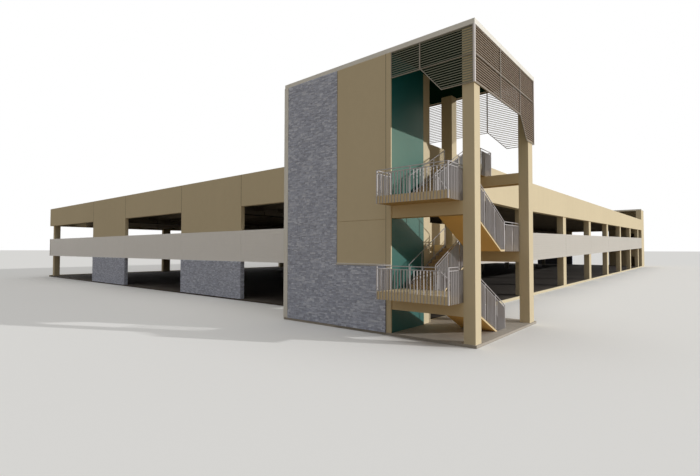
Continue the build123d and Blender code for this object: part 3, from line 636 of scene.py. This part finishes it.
def laidMesh(name, group, values, base=None):
    # runs a tree on a mesh, or on an empty one, and returns its result as a plain mesh
    holder = bpy.data.objects.new(name, base or bpy.data.meshes.new(name))
    bpy.context.scene.collection.objects.link(holder)
    modifier = holder.modifiers.new("courses", "NODES")
    modifier.node_group = group
    for item in group.interface.items_tree:
        if item.in_out == "INPUT" and item.name in values:
            modifier[item.identifier] = values[item.name]
    bpy.context.view_layer.update()
    seen = holder.evaluated_get(bpy.context.evaluated_depsgraph_get())
    mesh = bpy.data.meshes.new_from_object(seen)
    bpy.data.objects.remove(holder)
    return mesh


def wallFrame(corner, along, outward):
    # places a wall drawn in X and Z: its foot's left end, its run and the way it faces
    along, outward = Vector(along), Vector(outward)
    up = Vector((0, 0, 1))
    turn = Matrix((along, -outward, up)).transposed().to_4x4()
    return Matrix.Translation(Vector(corner)) @ turn


def placed(name, mesh):
    # a finished piece, with its place in its mesh
    made = bpy.data.objects.new(name, mesh)
    bpy.context.scene.collection.objects.link(made)
    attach(made, "root")
    print(name, len(mesh.polygons), "faces")
    return made


def joined(name, meshes):
    bm = bmesh.new()
    for mesh in meshes:
        bm.from_mesh(mesh)
    whole = bpy.data.meshes.new(name)
    bm.to_mesh(whole)
    bm.free()
    for finish in meshes[0].materials:
        whole.materials.append(finish)
    placed(name, whole)


stoneFinishMade = stoneFinish(stoneLook)
ledge = {
    "Course": 0.0062, "Length": 0.018, "Joint": 0.0004, "Chamfer": 0.0005, "Least": 0.0012, "Most": 0.0028,
    "Uneven": 0.33, "Halved": 0.15,
}
# on the east side no stone stands out past the far tower's roof
eastLedge = {**ledge, "Course": 0.0070, "Length": 0.021, "Least": 0.0008, "Most": 0.0018}
stoneSeeds = {"wall": 11, "base": 23, "garage": 40, "step": 10}
capOut = 0.003  # the cap over the lower stones stands this far out


def clad(corner, along, outward, width, height, seed, form=ledge):
    # ledge stones over one flat wall
    values = {**form, "Block": stoneBlock, "Width": width, "Height": height, "Seed": seed,
              "Finish": stoneFinishMade}
    mesh = laidMesh("ledge", blockCourses, values)
    mesh.transform(wallFrame(corner, along, outward))
    return mesh


def cladWest(low, high, seed):
    # the west face of a wall, from its lowest to its highest corner
    width, height = high[1] - low[1], high[2] - low[2]
    return clad((low[0], high[1], low[2]), (0, -1, 0), (-1, 0, 0), width, height, seed)


def ends(low, high, seed):
    # the south and north ends of a wall
    depth, height = high[0] - low[0], high[2] - low[2]
    return [
        clad((low[0], low[1], low[2]), (1, 0, 0), (0, -1, 0), depth, height, seed),
        clad((high[0], high[1], low[2]), (-1, 0, 0), (0, 1, 0), depth, height, seed + 1),
    ]


# Edge trim: a strip closes the stones where they reach the tower's end wall
edgeTrim = {"overStones": 0.010, "out": 0.0032, "bevel": 0.0006, "bevelSteps": 2}


def stripAlong(name, low, high, finish):
    # a straight strip between two corners, with its edges softened
    bm = bmesh.new()
    low, high = Vector(low), Vector(high)
    box = Matrix.Translation((low + high) / 2) @ Matrix.Diagonal((*(high - low), 1.0))
    bmesh.ops.create_cube(bm, size=1.0, matrix=box)
    bmesh.ops.bevel(bm, geom=list(bm.edges), offset=edgeTrim["bevel"], segments=edgeTrim["bevelSteps"],
                    profile=0.5, affect="EDGES")
    mesh = bpy.data.meshes.new(name)
    bm.to_mesh(mesh)
    bm.free()
    mesh.materials.append(finish)
    return mesh


low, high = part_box("tower_stone_wall")
stonesEnd = high[1] - edgeTrim["overStones"]
wallStones = cladWest(low, (high[0], stonesEnd, high[2]), stoneSeeds["wall"])
joined("tower_ledge_stones", [wallStones])
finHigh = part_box("tower_fin")[1]
trimFoot, trimHead = (low[0] - edgeTrim["out"], stonesEnd, low[2]), (low[0], finHigh[1], high[2])
joined("tower_edge_trim", [stripAlong("edgeTrim", trimFoot, trimHead, finishes["pale_trim"])])
low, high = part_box("tower_stone_base")
baseFace = low[0] + capOut
baseStones = cladWest((baseFace, low[1], low[2]), (baseFace, high[1], backingLook["capFoot"]),
                      stoneSeeds["base"])
joined("tower_base_stones", [baseStones])


weldDigits = 5  # points that agree in metres to this many digits are one


def islands(node):
    # the separate solids of a node: lowest corner, highest corner and points of each
    mesh = nodes[node].data
    parent = list(range(len(mesh.vertices)))

    def root(i):
        while parent[i] != i:
            parent[i] = parent[parent[i]]
            i = parent[i]
        return i

    keys = {}
    for i, vert in enumerate(mesh.vertices):
        key = tuple(round(v, weldDigits) for v in vert.co)
        if key in keys:
            parent[root(i)] = root(keys[key])
        else:
            keys[key] = i
    for edge in mesh.edges:
        a, b = edge.vertices
        parent[root(a)] = root(b)
    groups = {}
    for i, vert in enumerate(mesh.vertices):
        groups.setdefault(root(i), []).append(tuple(vert.co))
    found = []
    for points in groups.values():
        lows = tuple(min(p[k] for p in points) for k in range(3))
        highs = tuple(max(p[k] for p in points) for k in range(3))
        found.append((lows, highs, points))
    return sorted(found)


westStones, eastStones = [], []
for number, (low, high, _) in enumerate(islands("stone_walls")):
    seed = stoneSeeds["garage"] + stoneSeeds["step"] * number
    if low[0] < 0:
        westStones += [cladWest(low, high, seed)] + ends(low, high, seed + 1)
    else:
        eastStones.append(clad((high[0], low[1], low[2]), (0, 1, 0), (1, 0, 0), high[1] - low[1],
                               high[2] - low[2], seed, eastLedge))
        eastStones += ends(low, high, seed + 1)
joined("west_ledge_stones", westStones)
joined("east_ledge_stones", eastStones)


# Boards over the white bands, held behind the lip at their foot
boards = {
    "Course": 0.0184, "Joint": 0.0022, "Chamfer": 0.0005, "Least": 0.0017, "Most": 0.0017, "Uneven": 0.0,
    "Halved": 0.0, "Seed": 1,
}
boardPlace = {"lipHeight": 0.028, "lipOut": 0.002, "bandHeight": 0.212, "overLength": 1.01}
# each side's outward way, and the ends of its run in X and Y, 0 for low and 1 for high,
# from left to right as seen from outside
sideRuns = {
    "south": ((0, -1, 0), (0, 0), (1, 0)),
    "north": ((0, 1, 0), (1, 1), (0, 1)),
    "west": ((-1, 0, 0), (0, 1), (0, 0)),
    "east": ((1, 0, 0), (1, 0), (1, 1)),
}


def boardPanel(start, stop, outward, feet, finish):
    # boards over one panel of a band, from its left end to its right end seen from outside
    run = Vector((stop[0] - start[0], stop[1] - start[1], 0))
    width, height = run.length, boardPlace["bandHeight"] - boardPlace["lipHeight"]
    values = {**boards, "Block": stoneBlock, "Width": width, "Height": height,
              "Length": width * boardPlace["overLength"], "Finish": finish}
    mesh = laidMesh("boards", blockCourses, values)
    slope = (feet[1] - feet[0]) / width
    for vert in mesh.vertices:
        vert.co.z += slope * vert.co.x
    face = Vector(outward) * -boardPlace["lipOut"]
    corner = (start[0] + face.x, start[1] + face.y, feet[0] + boardPlace["lipHeight"])
    mesh.transform(wallFrame(corner, tuple(run.normalized()), outward))
    return mesh


def bandBoards(side):
    # the long sides rise towards +X, the short ones are level
    node = side + "_white_band"
    finish = ownFinishes.get(node, finishes["white_panel"])
    outward, *run = sideRuns[side]
    meshes = []
    for low, high, _ in islands(node):
        box = (low, high)
        rise = high[2] - low[2] - boardPlace["bandHeight"] if outward[1] else 0.0
        left, right = [(box[x][0], box[y][1]) for x, y in run]
        feet = [low[2] + rise * x for x, _ in run]
        meshes.append(boardPanel(left, right, outward, feet, finish))
    joined(node + "_boards", meshes)


for side in sideRuns:
    bandBoards(side)
bpy.data.objects.remove(stoneBlock)
print("cladding done")


# North columns: the photo shows none at the stair tower's end of that side
northRowFrom = -4.3
mergeWithin = 1e-6


def keptIslands(node, wanted, name):
    # a merged copy of a node with only the solids that are wanted
    bm = bmesh.new()
    bm.from_mesh(nodes[node].data)
    bmesh.ops.remove_doubles(bm, verts=bm.verts, dist=mergeWithin)
    bmesh.ops.delete(bm, geom=[v for v in bm.verts if not wanted(v.co)], context="VERTS")
    mesh = bpy.data.meshes.new(name)
    bm.to_mesh(mesh)
    bm.free()
    mesh.materials.append(nodes[node].material_slots[0].material)
    return mesh


northMesh = keptIslands("north_columns", lambda co: co.x > northRowFrom, "northRow")
northRow = placed("north_column_row", northMesh)
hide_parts("north_columns")


# Thin bars: each point carries the four corners of a bar's face, and the tree gives it a depth.
def unitBar(name):
    bm = bmesh.new()
    layer = bm.verts.layers.float_vector.new("corner")
    made = bmesh.ops.create_cube(bm, size=1.0, matrix=Matrix.Translation((0.5, 0.5, 0.5)))
    for vert in made["verts"]:
        vert[layer] = vert.co
    mesh = bpy.data.meshes.new(name)
    bm.to_mesh(mesh)
    bm.free()
    whole = bpy.data.objects.new(name, mesh)
    bpy.context.scene.collection.objects.link(whole)
    return whole


barCorners = ("footNear", "footFar", "headNear", "headFar")


def buildBars():
    group, start, end = newGroup("barsOnPoints", "GeometryNodeTree", [
        ("Geometry", "NodeSocketGeometry", None), ("Bar", "NodeSocketObject", None),
        ("Depth", "NodeSocketVector", None), ("Finish", "NodeSocketMaterial", None)],
        [("Geometry", "NodeSocketGeometry")])
    given = start.outputs
    bar = addNode(group, "GeometryNodeObjectInfo", {"Object": given["Bar"]})
    copies = addNode(group, "GeometryNodeInstanceOnPoints", {"Points": given["Geometry"],
                                                             "Instance": bar.outputs["Geometry"]})
    solid = addNode(group, "GeometryNodeRealizeInstances", {0: copies.outputs[0]}).outputs[0]

    def stored(name):
        return addNode(group, "GeometryNodeInputNamedAttribute", {"Name": name},
                       data_type="FLOAT_VECTOR").outputs[0]

    def between(factor, a, b):
        return addNode(group, "ShaderNodeMix", {0: factor, 4: a, 5: b}, data_type="VECTOR").outputs[1]

    corner = split(group, stored("corner"))
    footNear, footFar, headNear, headFar = [stored(name) for name in barCorners]
    foot = between(corner["X"], footNear, footFar)
    head = between(corner["X"], headNear, headFar)
    face = between(corner["Z"], foot, head)
    behind = addNode(group, "ShaderNodeVectorMath", {0: given["Depth"]}, operation="SCALE")
    group.links.new(corner["Y"], behind.inputs["Scale"])
    place = addNode(group, "ShaderNodeVectorMath", {0: face, 1: behind.outputs[0]}, operation="ADD")
    solid = addNode(group, "GeometryNodeSetPosition", {"Geometry": solid,
                                                       "Position": place.outputs[0]}).outputs[0]
    coloured = addNode(group, "GeometryNodeSetMaterial", {"Geometry": solid, "Material": given["Finish"]})
    group.links.new(coloured.outputs[0], end.inputs["Geometry"])
    return group


barsOnPoints = buildBars()
barShape = unitBar("barShape")


def barMesh(name, faces, depth, finish):
    # faces: one list of four corners for each bar, in the order of barCorners
    feet = bpy.data.meshes.new(name)
    feet.from_pydata([face[0] for face in faces], [], [])
    for number, label in enumerate(barCorners):
        values = [v for face in faces for v in face[number]]
        feet.attributes.new(label, "FLOAT_VECTOR", "POINT").data.foreach_set("vector", values)
    mesh = laidMesh(name, barsOnPoints, {"Bar": barShape, "Depth": depth, "Finish": finish}, feet)
    near, far, head = (Vector(faces[0][i]) for i in range(3))
    if (far - near).cross(Vector(depth)).dot(head - near) < 0:
        mesh.flip_normals()
    return mesh


# Guards: the pickets are flat bars that stand on edge, so each gets its full depth
guardBar = {
    "picket": 0.0022, "near": 0.0002, "extra": 0.0025, "drop": 0.030, "innerFrom": -2.8, "westOf": -5.1,
    "edgeDigits": 4, "endDigits": 5,
}


def onSide(axis, level, along, height):
    # a point on one side of a guard that runs in X (axis 0) or in Y (axis 1)
    return (along, level, height) if axis == 0 else (level, along, height)


def picketFaces(points, axis, level, lift):
    # the pickets' faces on one side of a guard, between their two upright edges
    uprights = {}
    for point in points:
        if abs(point[1 - axis] - level) < guardBar["near"]:
            edge = round(point[axis], guardBar["edgeDigits"])
            uprights.setdefault(edge, set()).add(round(point[2], guardBar["endDigits"]))
    places = sorted(uprights)
    faces = []
    for a, b in zip(places, places[1:]):
        if abs(b - a - guardBar["picket"]) > guardBar["near"]:
            continue
        feet = [onSide(axis, level, edge, min(uprights[edge]) + lift) for edge in (a, b)]
        heads = [onSide(axis, level, edge, max(uprights[edge])) for edge in (a, b)]
        faces.append(feet + heads)
    return faces


def guardBars(node):
    # level is the side of a guard that its bars grow from, depth the way they grow
    meshes, extra = [], guardBar["extra"]
    for low, high, points in islands(node):
        lift = 0.0
        if high[0] - low[0] > high[1] - low[1]:
            axis = 0
            isInner = low[1] > guardBar["innerFrom"]
            level, depth = (high[1], (0, extra, 0)) if isInner else (low[1], (0, -extra, 0))
        else:
            axis = 1
            level, depth = high[0], (extra, 0, 0)
            if low[0] < guardBar["westOf"]:
                lift = guardBar["drop"]
        faces = picketFaces(points, axis, level, lift)
        if faces:
            meshes.append(barMesh("bars", faces, depth, finishes["guard_steel"]))
    joined(node[:-1] + "_bars", meshes)


for node in ("balcony_guards", "landing_guards", "flight_guards"):
    guardBars(node)


# Sun blades: a thin sheet leans inwards over each slat of the south screen; their near-black bronze is
# painted shade
blade = {"rise": 0.006, "thick": 0.0004, "head": 1.1568}
bladeShadeFinish = metal("bladeBronzeShade", bladeShadePaint)
bladeFaces = []
for low, high, _ in islands("south_screen_slats"):
    top = min(high[2] + blade["rise"], blade["head"])
    bladeFaces.append([(low[0], low[1], high[2]), (high[0], low[1], high[2]),
                       (low[0], high[1], top), (high[0], high[1], top)])
joined("south_screen_blades", [barMesh("blades", bladeFaces, (0, 0, blade["thick"]), bladeShadeFinish)])
bpy.data.objects.remove(barShape)


# Floor, light and camera
stageLook = {
    "floor": (240, 239, 236), "bounce": (160, 148, 130), "size": 400.0, "below": 0.0005, "rough": 0.95,
}


def seenRay(tree):
    # rays from the camera, and those in gloss or glass that show the same surroundings
    path = addNode(tree, "ShaderNodeLightPath").outputs
    return math2(tree, "MAXIMUM", math2(tree, "MAXIMUM", path["Is Camera Ray"], path["Is Glossy Ray"]),
                 path["Is Transmission Ray"])


floorMesh = bpy.data.meshes.new("floor")
reach = stageLook["size"] / 2
floorMesh.from_pydata([(-reach, -reach, 0), (reach, -reach, 0), (reach, reach, 0), (-reach, reach, 0)], [],
                      [(0, 1, 2, 3)])
floor = bpy.data.objects.new("floor", floorMesh)
bpy.context.scene.collection.objects.link(floor)
floor.location.z = -stageLook["below"]
floorFinish, tree, place = startFinish("floorPaper")
floorColour = mixed(tree, seenRay(tree), tone(*stageLook["bounce"]), tone(*stageLook["floor"]))
endFinish(tree, floorColour, stageLook["rough"], specular=0.0)
floorMesh.materials.append(floorFinish)

lights = {
    "keyTurn": 27.0, "keyRise": 14.0, "keyStrength": 2.5, "keyAngle": 0.7,
    "topTurn": 0.0, "topRise": 89.0, "topStrength": 0.9, "topAngle": 60.0, "fill": 0.30,
}


def sunLamp(name, turn, rise, strength, angle):
    # turn is degrees east of south, rise is degrees above the floor
    lamp = bpy.data.lights.new(name, "SUN")
    lamp.energy = strength
    lamp.angle = math.radians(angle)
    made = bpy.data.objects.new(name, lamp)
    bpy.context.scene.collection.objects.link(made)
    flat = math.cos(math.radians(rise))
    toLamp = Vector((flat * math.sin(math.radians(turn)), -flat * math.cos(math.radians(turn)),
                     math.sin(math.radians(rise))))
    made.rotation_euler = toLamp.to_track_quat("Z", "Y").to_euler()


for lamp in ("key", "top"):
    sunLamp(lamp + "Light", *(lights[lamp + label] for label in ("Turn", "Rise", "Strength", "Angle")))

world = bpy.data.worlds.new("studio")
bpy.context.scene.world = world
world.use_nodes = True
tree = world.node_tree
tree.nodes.clear()
level = math2(tree, "ADD", math2(tree, "MULTIPLY", seenRay(tree), 1.0 - lights["fill"]), lights["fill"])
background = addNode(tree, "ShaderNodeBackground", {"Color": (1, 1, 1, 1), "Strength": level})
tree.links.new(background.outputs[0], addNode(tree, "ShaderNodeOutputWorld").inputs["Surface"])

camera = {
    "place": (-6.54, -3.74, 0.345), "turn": 39.6, "pitch": 1.6, "roll": 0.1, "lens": 22.05, "sensor": 36.0,
    "near": 0.01, "far": 400.0,
}
lens = bpy.data.cameras.new("photoView")
lens.lens = camera["lens"]
lens.sensor_width = camera["sensor"]
lens.clip_start = camera["near"]
lens.clip_end = camera["far"]
view = bpy.data.objects.new("photoView", lens)
bpy.context.scene.collection.objects.link(view)
view.location = camera["place"]
turned = Matrix.Rotation(math.radians(camera["turn"] - 90), 4, "Z")
pitched = Matrix.Rotation(math.radians(90 + camera["pitch"]), 4, "X")
rolled = Matrix.Rotation(math.radians(camera["roll"]), 4, "Z")
view.rotation_euler = (turned @ pitched @ rolled).to_euler()
bpy.context.scene.camera = view
bpy.context.scene.view_settings.view_transform = "Standard"
print("stage set")
